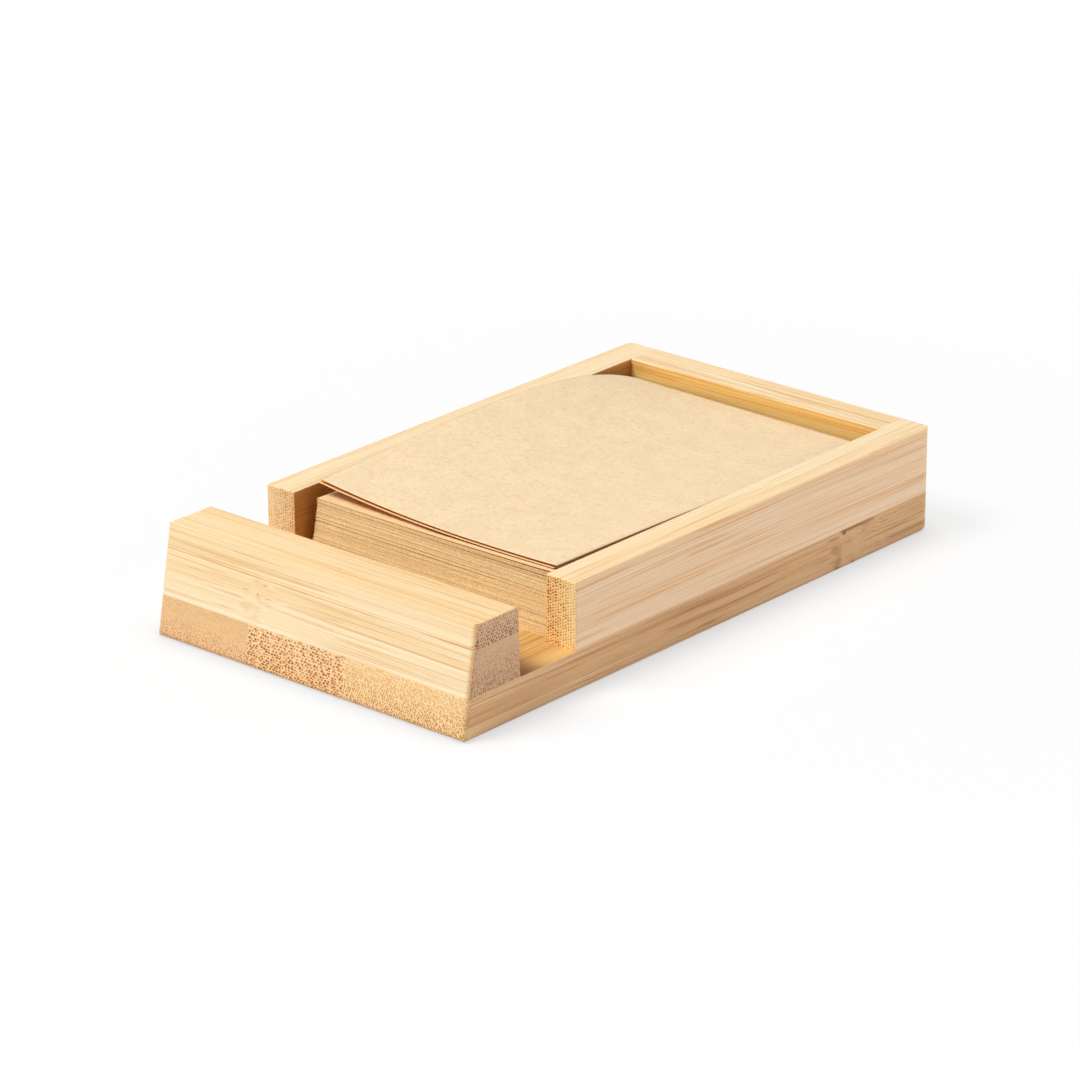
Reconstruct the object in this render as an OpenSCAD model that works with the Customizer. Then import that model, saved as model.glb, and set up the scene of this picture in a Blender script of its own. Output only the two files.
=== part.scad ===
// Bamboo tray for loose note sheets, with a front lip and a slot that stands a phone upright.
// The frame: X to the right seen from the front, Y to the rear, Z up, origin under the middle.

/* [Note sheets] */
// Width of one sheet
sheet_w = 77; // [60:1:110]
// Length of one sheet, front to rear
sheet_l = 120; // [90:1:180]
// Thickness of one sheet
sheet_t = 0.12; // [0.08:0.01:0.2]
// Air left between two pressed sheets
sheet_air = 0.01; // [0.005:0.005:0.03]
// Sheets that lie pressed in the stack
stack_sheets = 85; // [40:1:97]

/* [Tray walls] */
// Thickness of each side wall
side_wall_t = 9.3; // [5:0.1:16]
// Thickness of the rear wall
rear_wall_t = 11; // [5:0.5:16]
// Height of the walls above the base board
wall_h = 17.4; // [16:0.1:40]
// Room between the sheets and each side wall
side_gap = 2.2; // [1.9:0.1:8]
// Room between the sheets and the rear wall
rear_gap = 3.7; // [1.5:0.1:10]
// Set-back of the sheets behind the walls' front ends
front_recess = 4.8; // [4:0.2:20]

/* [Base board] */
// Thickness of the base board
base_t = 10.6; // [6:0.1:16]
// Width of the flat-grain strip along the left edge
left_strip_w = 29.8; // [20:0.1:34]
// Width of one upright lamina in the middle of the board
lamina_w = 3.95; // [2:0.05:6]

/* [Front lip and phone slot] */
// Thickness of the lip's lower ply
lip_lower_t = 11.6; // [4:0.1:20]
// Thickness of the lip's upper ply
lip_upper_t = 6.15; // [3:0.05:20]
// Depth of the lip's top face, front to rear
lip_top_d = 14.3; // [8:0.1:25]
// Distance that the front face leans back from the bottom of the board to the top of the lip
front_run = 5.1; // [1:0.1:8]
// Distance that the lip's rear face leans forward from its foot to its top
lip_back_run = 0.7; // [0.2:0.1:3]
// Width of the slot between the lip's foot and the walls' front ends
slot_d = 19.6; // [8:0.2:40]

/* [Sanded edges] */
// Radius of the upright corners at the rear
rear_corner_r = 3.8; // [2:0.1:4.5]
// Radius of the upright edges at the holder's front left, front and rear of the lip
left_edge_r = 1.9; // [0.5:0.1:3]
// Radius of the upright edge at the holder's front right
right_edge_r = 1.7; // [0.5:0.1:3]
// Radius along the top of the lip's left end
lip_end_r = 1.4; // [0.3:0.1:2]
// Radius around the bottom of the base board
bottom_r = 1.5; // [0.4:0.1:1.9]
// Radius along the rear wall's outer top edge
rear_top_r = 1.2; // [0.3:0.1:2]
// Radius along the outer top edges of the side walls and the lip
top_r = 0.6; // [0.3:0.1:2]
// Radius along the tray's inner top edges and the walls' front ends
inner_r = 0.4; // [0.2:0.1:1.5]

/* [Curl of the paper] */
// Rise of the stack's front above its rear
stack_rise = 2.1; // [0:0.1:2.4]
// Forward lean of the lowest sheet, compared with the uppermost
stack_lean = 2.2; // [0:0.1:4]
// Opening of the fan's lowest gap at its front right corner
first_gap = 0.12; // [0:0.01:0.2]
// Opening of the fan's second gap at its front right corner
second_gap = 0.16; // [0.05:0.01:0.25]
// Opening of the fan's third gap at its front right corner
third_gap = 0.3; // [0.13:0.01:0.4]
// Opening from sheet to sheet between the third gap and the fourth
sheet_gap = 0.03; // [0:0.01:0.05]
// Opening of the gap under the uppermost fanned sheet at its front right corner
fourth_gap = 0.35; // [0.13:0.01:0.45]
// Opening of the third and the fourth gap at their front left corner
left_gap = 0.12; // [0:0.01:0.13]
// Rise of the second sheet's front above its rear
second_rise = 3; // [2.9:0.05:3.3]
// Lift of the second sheet's left edge at the front
second_left = 2.65; // [2:0.05:3]
// Further lift of the second sheet's left edge towards the rear
second_left_growth = 9.2; // [4:0.1:9.6]
// Lift of the second sheet's right edge at the front
second_right = 0.5; // [0.4:0.1:0.8]
// Further lift of the second sheet's right edge towards the rear
second_right_growth = 2.8; // [2:0.1:3.1]
// Rise of the top sheet's front above its rear
top_rise = 3.3; // [3.25:0.05:5]
// Lift of the top sheet's left edge at the front
top_left = 2.85; // [2.7:0.05:5]
// Further lift of the top sheet's left edge towards the rear
top_left_growth = 10; // [9.4:0.1:12]
// Lift of the top sheet's right edge at the front
top_right = 0.7; // [0.6:0.1:1.5]
// Further lift of the top sheet's right edge towards the rear
top_right_growth = 3.2; // [2.9:0.1:5]

/* [Hidden] */
// Upright laminae in the middle of the base board
laminae = 8;
// Distance from one pressed sheet to the next
sheet_pitch = sheet_t + sheet_air;
// Height of the pressed stack along its rear
stack_h = stack_sheets * sheet_pitch;
// Loose sheets that fan open above the stack
fan_sheets = 13;
// Sheets below the second gap, below the third and below the fourth
below_second = 2;
below_third = 5;
below_fourth = 12;
// Openings between them at the front: [sheets below, at the left, at the right, sharpness of its growth]
fan_gaps = concat(
    [[0, 0, first_gap, 3], [below_second, 0, second_gap, 3], [below_third, left_gap, third_gap, 2]],
    [for (below = [below_third + 1 : below_fourth - 1]) [below, 0, sheet_gap, 2]],
    [[below_fourth, left_gap, fourth_gap, 2]]
);
// Clear air below the fanned sheets along their rear, and below each curled sheet
fan_air = 0.05;
loose_air = 0.1;
// Share of a sheet's width, from its left edge, where the curled top sheets lie lowest
valley = 0.63;
// Sharpness with which the curled left edge drops at the rear corner
corner_drop = 4;
// Sideways run from front to rear of the stack and the fan, and of the loose sheets on them
stack_run = 1.05;
loose_run = 1.45;
// Turn that gives them that run, seen from above
stack_turn = -asin(stack_run / sheet_l);
loose_turn = -asin(loose_run / sheet_l);
// Middle of the sheets' front edges, off the tray's middle
stack_x = 0.6;
stack_shift = 0.3;
second_x = -0.35;
top_x = 0.35;
// Set-back of each loose sheet's front edge from the stack's
second_back = 1.5;
top_back = 1.8;
// Side-to-side wander of the fanned sheets' edges, and its step from sheet to sheet
fan_wander = 0.12;
fan_wander_step = 150;

tray_w = sheet_w + 2 * side_gap;
tray_l = front_recess + sheet_l + rear_gap;
body_w = tray_w + 2 * side_wall_t;
lip_foot_d = front_run + lip_top_d + lip_back_run;
body_l = lip_foot_d + slot_d + tray_l + rear_wall_t;
wall_top = base_t + wall_h;
lip_seam = base_t + lip_lower_t;
lip_top = lip_seam + lip_upper_t;

right_x = body_w / 2;
left_x = -right_x;
tray_right_x = tray_w / 2;
front_y = -body_l / 2;
rear_y = body_l / 2;
lip_back_y = front_y + lip_foot_d;
wall_front_y = lip_back_y + slot_d;
tray_rear_y = rear_y - rear_wall_t;
pad_front_y = wall_front_y + front_recess;

stack_top = base_t + stack_h;
fan_top = stack_top + fan_sheets * sheet_pitch;
second_z = fan_top + loose_air;
top_z = second_z + sheet_t + loose_air;

laminae_x = left_x + left_strip_w;
right_strip_x = laminae_x + laminae * lamina_w;

// Angle at which the arc along a leaning edge meets the faces beside it
edge_bite = 8;
// Length by which cutting shapes run past what they cut
over = 5;
// Cells across and along the curled sheets
curl_cells = [14, 20];
fan_cells = [6, 3];

// Colours of the pieces
light_bamboo = [0.93, 0.78, 0.53];
flat_bamboo = [0.86, 0.68, 0.43];
dark_bamboo = [0.80, 0.60, 0.36];
end_bamboo = [0.89, 0.72, 0.46];
kraft = [0.87, 0.75, 0.56];
pale_kraft = [0.92, 0.81, 0.63];

$fn = 48;

function unit(v) = v / norm(v);

// Waste outside the arc that eases the corner p between its neighbours a and b
module corner_waste(p, a, b, r) {
    u = unit(a - p);
    v = unit(b - p);
    half = acos(u * v) / 2;
    reach = r / tan(half);
    centre = unit(u + v) * r / sin(half);
    translate(p) difference() {
        polygon([[0, 0], u * reach, centre, v * reach]);
        translate(centre) circle(r);
    }
}

// A convex outline with each corner eased by its own radius
module eased(points, radii) {
    n = len(points);
    difference() {
        polygon(points);
        for (i = [0 : n - 1])
            if (radii[i] > 0)
                corner_waste(points[i], points[(i + n - 1) % n], points[(i + 1) % n], radii[i]);
    }
}

// Rectangle from low to high, its corners eased from the low one anticlockwise
module eased_rect(low, high, radii) {
    eased([low, [high.x, low.y], high, [low.x, high.y]], radii);
}

// Outline in the XZ plane, pushed along Y
module along_y(from, to) {
    translate([0, to, 0]) rotate([90, 0, 0]) linear_extrude(to - from) children();
}

// Outline in the YZ plane, pushed along X
module along_x(from, to) {
    translate([from, 0, 0]) rotate([90, 0, 90]) linear_extrude(to - from) children();
}

// Plan of the board, sanded round at its two rear corners
module board_plan() {
    radii = [0, 0, rear_corner_r, rear_corner_r];
    linear_extrude(base_t + over) eased_rect([left_x, front_y], [right_x, rear_y], radii);
}

// Waste along an edge on the local Z axis, outside the arc between the faces X = 0 and Y = 0
module edge_waste(r) {
    centre = r * cos(edge_bite);
    translate([0, 0, -over]) linear_extrude(lip_top + 2 * over) difference() {
        translate([-over, -over]) square(over + centre);
        translate([centre, centre]) circle(r);
    }
}

// Waste along the two front edges, which lean back with the front face
module front_edges() {
    for (edge = [[0, left_edge_r], [1, right_edge_r]])
        mirror([edge[0], 0, 0]) translate([left_x, front_y, 0])
            rotate([-atan(front_run / lip_top), 0, 0]) edge_waste(edge[1]);
}

// Waste along the lip's two rear edges, which lean forward with its rear face
module lip_rear_edges() {
    for (edge = [[0, left_edge_r], [1, inner_r]])
        mirror([edge[0], 0, 0]) translate([left_x, lip_back_y, base_t])
            rotate([atan(lip_back_run / (lip_top - base_t)), 0, 0]) mirror([0, 1, 0]) edge_waste(edge[1]);
}

// Set-back of the leaning front face at height z
function lean_at(z) = front_run * z / lip_top;

// Side view of the base board, with its leaning front end
module base_side() {
    points = [[front_y, 0], [rear_y, 0], [rear_y, base_t], [front_y + lean_at(base_t), base_t]];
    along_x(left_x - over, right_x + over) eased(points, [bottom_r, bottom_r, 0, 0]);
}

// Front view of the base board
module base_front() {
    along_y(front_y - over, rear_y + over)
        eased_rect([left_x, 0], [right_x, base_t], [bottom_r, bottom_r, 0, 0]);
}

// Waste below the board's two rear corners, where the bottom easing follows their arc
module rear_corner_waste() {
    reach = rear_corner_r - bottom_r;
    for (side = [0, 1])
        mirror([side, 0, 0]) translate([right_x - rear_corner_r, rear_y - rear_corner_r, 0])
            rotate_extrude(angle = 90) difference() {
                translate([reach, -over]) square([bottom_r + over, bottom_r + over]);
                translate([reach, bottom_r]) circle(bottom_r);
            }
}

// One strip of the base board, from one X to another
module base_strip(from, to) {
    difference() {
        intersection() {
            base_side();
            base_front();
            board_plan();
            translate([from, front_y - over, -over]) cube([to - from, body_l + 2 * over, base_t + 2 * over]);
        }
        front_edges();
        rear_corner_waste();
    }
}

module base_left_strip() {
    color(flat_bamboo) base_strip(left_x, laminae_x);
}

module base_right_strip() {
    color(end_bamboo) base_strip(right_strip_x, right_x);
}

module base_lamina(i) {
    color(i % 2 == 0 ? dark_bamboo : flat_bamboo)
        base_strip(laminae_x + (i - 1) * lamina_w, laminae_x + i * lamina_w);
}

// The whole lip, standing flush on the front of the board
module lip_blank() {
    points = [
        [front_y + lean_at(base_t), base_t],
        [lip_back_y, base_t],
        [lip_back_y - lip_back_run, lip_top],
        [front_y + front_run, lip_top]
    ];
    difference() {
        intersection() {
            along_x(left_x - over, right_x + over) eased(points, [0, 0, top_r, top_r]);
            along_y(front_y - over, lip_back_y + over)
                eased_rect([left_x, base_t], [right_x, lip_top], [0, 0, inner_r, lip_end_r]);
        }
        front_edges();
        lip_rear_edges();
    }
}

// One ply of the lip, from one height to another
module lip_ply(from, to) {
    intersection() {
        lip_blank();
        translate([left_x - over, front_y - over, from])
            cube([body_w + 2 * over, lip_foot_d + 2 * over, to - from]);
    }
}

module lip_lower_ply() {
    color(light_bamboo) lip_ply(base_t, lip_seam);
}

module lip_upper_ply() {
    color(light_bamboo) lip_ply(lip_seam, lip_top + over);
}

// The right-hand side wall, which runs from its front end to the rear of the board.
// Its inner top edge is eased only along the tray, because the rear wall meets it flush.
module side_wall() {
    intersection() {
        union() {
            along_y(wall_front_y - over, tray_rear_y)
                eased_rect([tray_right_x, base_t], [right_x, wall_top], [0, 0, top_r, inner_r]);
            along_y(tray_rear_y, rear_y + over)
                eased_rect([tray_right_x, base_t], [right_x, wall_top], [0, 0, top_r, 0]);
        }
        along_x(tray_right_x - over, right_x + over)
            eased_rect([wall_front_y, base_t], [rear_y, wall_top], [0, 0, rear_top_r, inner_r]);
        translate([0, 0, base_t - over]) linear_extrude(wall_h + 2 * over) eased_rect(
            [tray_right_x, wall_front_y], [right_x, rear_y], [inner_r, inner_r, rear_corner_r, 0]
        );
    }
}

module right_wall() {
    color(light_bamboo) side_wall();
}

module left_wall() {
    color(light_bamboo) mirror([1, 0, 0]) side_wall();
}

// The rear wall butts between the side walls
module rear_wall() {
    color(light_bamboo)
        along_x(-tray_right_x, tray_right_x)
            eased_rect([tray_rear_y, base_t], [rear_y, wall_top], [0, 0, rear_top_r, inner_r]);
}

// One flat sheet, its front edge's middle at [x, y], raised by rise at the front
module flat_sheet(x, y, z, rise, turn) {
    translate([x, y, z]) rotate([0, 0, turn]) translate([-sheet_w / 2, sheet_l, 0])
        rotate([-atan(rise / sheet_l), 0, 0]) translate([0, -sheet_l, 0]) cube([sheet_w, sheet_l, sheet_t]);
}

// The pressed stack: its front fans slightly upwards and leans back with height
module note_stack() {
    color(kraft) for (i = [0 : stack_sheets - 1]) {
        up = i / (stack_sheets - 1);
        flat_sheet(
            stack_x - stack_shift * (1 - up),
            pad_front_y - stack_lean * (1 - up),
            base_t + i * sheet_pitch,
            stack_rise * up,
            stack_turn
        );
    }
}

// Height of a curled sheet at share s of its width and share t of its length:
// rear height z, front rise, and [front, growth] lifts of the left and the right edge
function curl_z(s, t, z, rise, left, right) =
    z + rise * (1 - t)
    + (left[0] + left[1] * t) * (1 - pow(t, corner_drop)) * pow(max(0, 1 - s / valley), 2)
    + (right[0] + right[1] * t) * (1 - t * t) * pow(max(0, (s - valley) / (1 - valley)), 2);

function total(values, i = 0) = i < len(values) ? values[i] + total(values, i + 1) : 0;

// Sum of the gaps below fanned sheet k at share s of its width
function fan_opening(k, s) =
    total([for (gap = fan_gaps) if (k > gap[0]) gap[1] + (gap[2] - gap[1]) * pow(s, gap[3])]);

// Height of fanned sheet k, counted from the lowest
function fan_z(k, s, t) =
    stack_top + fan_air + (k - 1) * sheet_pitch + (stack_rise + fan_opening(k, s)) * (1 - t);

// A thin sheet over rows of lower points, each row running from left to right
module sheet_over(rows) {
    n = len(rows[0]);
    m = len(rows);
    lower = [for (row = rows) each row];
    upper = [for (p = lower) p + [0, 0, sheet_t]];
    half = n * m;
    function at(i, j, top) = j * n + i + (top ? half : 0);
    faces = concat(
        [for (j = [0 : m - 2], i = [0 : n - 2]) each [
            [at(i, j, false), at(i + 1, j, false), at(i + 1, j + 1, false)],
            [at(i, j, false), at(i + 1, j + 1, false), at(i, j + 1, false)],
            [at(i, j, true), at(i + 1, j + 1, true), at(i + 1, j, true)],
            [at(i, j, true), at(i, j + 1, true), at(i + 1, j + 1, true)]
        ]],
        [for (i = [0 : n - 2], j = [0, m - 1])
            each side_pair(at(i, j, false), at(i + 1, j, false), half, j > 0)],
        [for (j = [0 : m - 2], i = [0, n - 1])
            each side_pair(at(i, j, false), at(i, j + 1, false), half, i == 0)]
    );
    polyhedron(concat(lower, upper), faces);
}

// The two triangles between the lower edge a-b and the upper edge above it
function side_pair(a, b, half, flip) = flip
    ? [[a, b, b + half], [a, b + half, a + half]]
    : [[a, b + half, b], [a, a + half, b + half]];

// Places a curled sheet with its front edge's middle at [x, y]
module curled_sheet(x, y, turn, z, rise, left, right) {
    translate([x, y, 0]) rotate([0, 0, turn]) sheet_over([
        for (j = [0 : curl_cells[1]]) [
            for (i = [0 : curl_cells[0]])
                let (s = i / curl_cells[0], t = j / curl_cells[1])
                    [(s - 0.5) * sheet_w, t * sheet_l, curl_z(s, t, z, rise, left, right)]
        ]
    ]);
}

// Loose sheets on the stack, opening like a fan towards the front right
module fanned_sheets() {
    color(kraft) for (k = [1 : fan_sheets]) {
        x = stack_x + fan_wander * sin(fan_wander_step * k);
        translate([x, pad_front_y, 0]) rotate([0, 0, stack_turn]) sheet_over([
            for (j = [0 : fan_cells[1]]) [
                for (i = [0 : fan_cells[0]])
                    let (s = i / fan_cells[0], t = j / fan_cells[1])
                        [(s - 0.5) * sheet_w, t * sheet_l, fan_z(k, s, t)]
            ]
        ]);
    }
}

module second_sheet() {
    color(pale_kraft) curled_sheet(
        second_x, pad_front_y + second_back, loose_turn, second_z, second_rise,
        [second_left, second_left_growth], [second_right, second_right_growth]
    );
}

module top_sheet() {
    color(pale_kraft) curled_sheet(
        top_x, pad_front_y + top_back, loose_turn, top_z, top_rise,
        [top_left, top_left_growth], [top_right, top_right_growth]
    );
}

base_left_strip();
base_right_strip();
for (i = [1 : laminae]) base_lamina(i);
lip_lower_ply();
lip_upper_ply();
left_wall();
right_wall();
rear_wall();
note_stack();
fanned_sheets();
second_sheet();
top_sheet();
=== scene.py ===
# Bamboo note tray with a front lip and a phone slot: the looks of its wood and paper, its light and camera.
import math
import random
from dataclasses import dataclass, field
from typing import NamedTuple

import bmesh
import bpy
from mathutils import Matrix, Vector


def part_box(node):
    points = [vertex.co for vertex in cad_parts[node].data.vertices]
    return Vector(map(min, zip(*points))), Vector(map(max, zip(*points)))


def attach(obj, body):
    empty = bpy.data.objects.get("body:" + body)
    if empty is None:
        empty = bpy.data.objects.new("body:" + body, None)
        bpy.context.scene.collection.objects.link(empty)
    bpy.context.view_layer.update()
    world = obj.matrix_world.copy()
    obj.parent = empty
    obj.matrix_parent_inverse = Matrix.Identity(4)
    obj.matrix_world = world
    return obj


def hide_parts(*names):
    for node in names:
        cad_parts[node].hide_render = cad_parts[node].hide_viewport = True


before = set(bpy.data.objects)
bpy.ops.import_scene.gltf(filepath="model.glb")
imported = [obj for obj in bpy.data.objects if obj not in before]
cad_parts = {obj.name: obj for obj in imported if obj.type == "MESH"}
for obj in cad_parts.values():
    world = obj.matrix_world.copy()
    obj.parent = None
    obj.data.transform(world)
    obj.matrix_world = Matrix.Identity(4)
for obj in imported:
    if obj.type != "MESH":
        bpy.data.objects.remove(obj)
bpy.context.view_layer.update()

MM = 0.001


def colour(red, green, blue):
    """A colour as seen on a screen, from 0 to 255, as the linear values that a shader takes."""
    def linear(value):
        share = value / 255
        return share / 12.92 if share <= 0.04045 else ((share + 0.055) / 1.055) ** 2.4
    return (linear(red), linear(green), linear(blue), 1.0)


# Camera, fitted to the photograph. Its sensor and focal length are in millimetres, the rest in metres
SENSOR_W = 36
FOCAL_LENGTH = 164.649
CAMERA_AZIMUTH = math.radians(40.971)
CAMERA_ELEVATION = math.radians(21.625)
CAMERA_ROLL = math.radians(-0.146)
CAMERA_DISTANCE = 1.22382
CAMERA_AIM = Vector((0, 0, 15 * MM))
CAMERA_RIGHTWARD = 3.32 * MM
CAMERA_UPWARD = 3.80 * MM
# Nearest and farthest that it sees
CLIP = (0.01, 50)

# Size and thickness of a note sheet
SHEET_W = 77 * MM
SHEET_L = 120 * MM
SHEET_T = 0.12 * MM
# Number of pressed sheets, and how much higher the uppermost lies at its front edge than at its rear edge
STACK_SHEETS = 85
STACK_RISE = 2.1 * MM
# Middle of the uppermost pressed sheet's front edge
STACK_X = 0.6 * MM
STACK_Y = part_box("right_wall")[0].y + 4.8 * MM
# How far to the left and to the front of it the lowest sheet lies
STACK_LEAN_X = 0.3 * MM
STACK_LEAN_Y = 2.2 * MM
# How far the pressed sheets stray from their place, and how wavy their front edges are
STACK_STRAY_X = 0.07 * MM
STACK_STRAY_Y = 0.09 * MM
STACK_RIPPLE = 0.03 * MM
# The stack gapes at its front after this sheet: the gape's height, and its reach as a share of the length
GAPE_AFTER = 54
GAPE_HEIGHT = 0.16 * MM
GAPE_REACH = 0.12
# Turn of the stack and the fan, and of the loose sheets on them, from their sideways run over their length
STACK_TURN = -math.asin(1.05 * MM / SHEET_L)
LOOSE_TURN = -math.asin(1.45 * MM / SHEET_L)
# Number of fanned sheets, how far each lies above the one below, and how far they stray sideways
FAN_SHEETS = 13
FAN_PITCH = 0.13 * MM
FAN_STRAY = 0.12 * MM
# Middle of the curled sheets' front edges, to the right of the tray's middle and behind the stack's front
SECOND_X, SECOND_BACK = -0.35 * MM, 1.5 * MM
TOP_X, TOP_BACK = 0.35 * MM, 1.8 * MM
# Where their lowest line lies, as a share of their width from the left
CURL_VALLEY = 0.63

# Places on the wood, in millimetres
BOARD_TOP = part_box("base_left_strip")[1].z / MM
LIP_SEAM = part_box("lip_upper_ply")[0].z / MM
LIP_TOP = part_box("lip_upper_ply")[1].z / MM
LIP_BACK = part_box("lip_lower_ply")[1].y / MM
WALL_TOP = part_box("right_wall")[1].z / MM
WALL_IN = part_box("right_wall")[0].x / MM
WALL_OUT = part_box("right_wall")[1].x / MM

# Pale bamboo of the lip and the walls
STRAW = colour(253, 231, 189)
GOLD = colour(250, 219, 170)
CREAM = colour(255, 249, 226)
AMBER = colour(228, 170, 90)
GLUE = colour(230, 152, 66)
# Darker bamboo of the base board
TAN = colour(234, 193, 143)
BROWN = colour(216, 168, 117)
PALE_TAN = colour(246, 214, 170)
RUST = colour(168, 106, 58)
FOOT = colour(190, 116, 56)
# Dark flecks near the culm nodes
FLECK = colour(148, 88, 44)
# Painted shade on the walls' outer faces, which makes them a little darker and pinker
OUTER_SHADE = colour(249, 240, 246)


class Graph:
    """The node tree of a material or a world, built a step at a time. Most steps return a socket."""

    def __init__(self, owner):
        self.owner = owner
        owner.use_nodes = True
        self.tree = owner.node_tree
        self.tree.nodes.clear()

    def put(self, socket, value):
        """Links a socket to an input, or sets the input's own value."""
        if isinstance(value, bpy.types.NodeSocket):
            self.tree.links.new(value, socket)
        elif value is not None:
            socket.default_value = value

    def add(self, kind, inputs=(), **settings):
        node = self.tree.nodes.new(kind)
        for name, value in settings.items():
            setattr(node, name, value)
        for name, value in dict(inputs).items():
            self.put(node.inputs[name], value)
        return node

    def maths(self, operation, a, b=None):
        return self.add("ShaderNodeMath", {0: a, 1: b}, operation=operation).outputs[0]

    def plus(self, a, b):
        return self.maths("ADD", a, b)

    def minus(self, a, b):
        return self.maths("SUBTRACT", a, b)

    def times(self, a, b):
        return self.maths("MULTIPLY", a, b)

    def join(self, x, y, z):
        return self.add("ShaderNodeCombineXYZ", {0: x, 1: y, 2: z}).outputs[0]

    def split(self, vector):
        return self.add("ShaderNodeSeparateXYZ", {0: vector}).outputs

    def position(self):
        """The place in the frame, in millimetres."""
        place = self.add("ShaderNodeTexCoord").outputs["Object"]
        scaled = self.add("ShaderNodeVectorMath", {0: place, "Scale": 1 / MM}, operation="SCALE")
        return self.split(scaled.outputs[0])

    def normal(self):
        return self.split(self.add("ShaderNodeNewGeometry").outputs["Normal"])

    def noise_node(self, vector, detail=1.0, rough=0.5):
        inputs = {"Vector": vector, "Scale": 1.0, "Detail": detail, "Roughness": rough}
        return self.add("ShaderNodeTexNoise", inputs)

    def noise(self, vector, detail=1.0, rough=0.5):
        return self.noise_node(vector, detail, rough).outputs[0]

    def swing(self, noise, amount):
        """The noise as a change up or down, which is amount wide from its lowest to its highest."""
        return self.times(self.minus(noise, 0.5), amount)

    def cells(self, vector, randomness):
        """Steps in X and Y from the nearest cell's centre, and that cell's own random number."""
        node = self.add("ShaderNodeTexVoronoi", {"Vector": vector, "Scale": 1.0, "Randomness": randomness},
                        voronoi_dimensions="2D")
        centre, numbers = node.outputs["Position"], node.outputs["Color"]
        away = self.add("ShaderNodeVectorMath", {0: vector, 1: centre}, operation="SUBTRACT")
        steps = self.split(away.outputs[0])
        return steps[0], steps[1], self.split(numbers)[0]

    def fade(self, value, low, high, to_low=0.0, to_high=1.0):
        """Smooth change from to_low to to_high as value goes from low to high."""
        inputs = {"Value": value, "From Min": low, "From Max": high, "To Min": to_low, "To Max": to_high}
        return self.add("ShaderNodeMapRange", inputs, interpolation_type="SMOOTHSTEP").outputs[0]

    def line(self, value, at, half_width):
        """1 where value is at, falling to 0 within half_width on both sides."""
        return self.fade(self.maths("ABSOLUTE", self.minus(value, at)), 0.0, half_width, 1.0, 0.0)

    def mix(self, share, a, b, blend="MIX"):
        node = self.add("ShaderNodeMix", data_type="RGBA", blend_type=blend)
        self.put(node.inputs[0], share)
        self.put(node.inputs[6], a)
        self.put(node.inputs[7], b)
        return node.outputs[2]

    def tint(self, share, tone, tint):
        """The tone, and where share is 1 the tone multiplied by the tint."""
        return self.mix(share, tone, self.mix(1.0, tone, tint, "MULTIPLY"))

    def shade(self, tone, amount):
        """The tone, brighter or darker by a factor that varies over the surface."""
        return self.mix(1.0, tone, self.join(amount, amount, amount), "MULTIPLY")

    def end(self, shader, kind="ShaderNodeOutputMaterial"):
        """Links the shader to the tree's output, and returns what the tree belongs to."""
        self.add(kind, {"Surface": shader.outputs[0]})
        return self.owner

    def principled(self, base, rough, specular, height, relief):
        """Ends in a Principled shader, with a bump of height in relief metres."""
        bump = self.add("ShaderNodeBump", {"Height": height, "Strength": 1.0, "Distance": relief})
        inputs = {"Base Color": base, "Roughness": rough, "Specular IOR Level": specular,
                  "Normal": bump.outputs[0]}
        return self.end(self.add("ShaderNodeBsdfPrincipled", inputs))


class Band(NamedTuple):
    """A band of another colour across one axis, such as a glue line."""
    axis: str
    at: float
    half_width: float
    strength: float
    tint: tuple


class Culm(NamedTuple):
    """A culm node: its place along the grain, and the strength of its stain."""
    at: float
    half_width: float
    strength: float


class Fleck(NamedTuple):
    """A dark fleck: its place along the grain, its height over the frame's origin, and its half sizes."""
    at: float
    height: float
    half_length: float
    half_height: float
    strength: float


class ShadeFlank(NamedTuple):
    """Painted shade: a tint for the faces that look one way along an axis. The way is -1 or 1."""
    axis: str
    way: int
    tint: tuple


class PaintedShadow(NamedTuple):
    """Painted shadow on the upper side, from a place in y where another piece stands on it."""
    start: float
    reach: float
    tint: tuple


@dataclass(kw_only=True)
class Bamboo:
    """How one bamboo piece looks. Lengths are in millimetres."""
    name: str
    # Axis of the fibres
    grain: str
    seed: float
    pale: tuple
    warm: tuple
    gleam: tuple
    streak: tuple
    # End grain: its ground at the sparse and the dense side, the paler net in it, and the fibre bundles
    ground: tuple
    net: tuple
    dot: tuple
    # Axis from the sparse side of the fibre bundles to the dense one, and both places on it
    depth: tuple
    # Distance between bundles along a row, and between rows at the sparse and the dense side
    pitch: float
    rows: tuple
    # Half length of a bundle along its row at the sparse and the dense side, then half its height there
    bundle: tuple
    # Strength of the bundles at the sparse and the dense side
    strength: tuple
    # How wavy the rows are, and how far the bundles stray from even rows, from 0 to 1
    wander: float = 0.7
    stray: float = 0.6
    # Strength of the dark lines along the grain, and of the other changes in tone
    lines: float = 0.65
    contrast: float = 1.0
    # Bands on the faces along the grain, and on the end grain
    bands: list = field(default_factory=list)
    end_bands: list = field(default_factory=list)
    culms: list = field(default_factory=list)
    flecks: list = field(default_factory=list)
    # Painted shade: tints for the faces that look one way
    flanks: list = field(default_factory=list)
    # Painted shadows on the upper side
    painted_shadows: list = field(default_factory=list)
    # Tint on the rounded edges where the grain ends
    toast: tuple = (1.0, 1.0, 1.0, 1.0)


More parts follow.
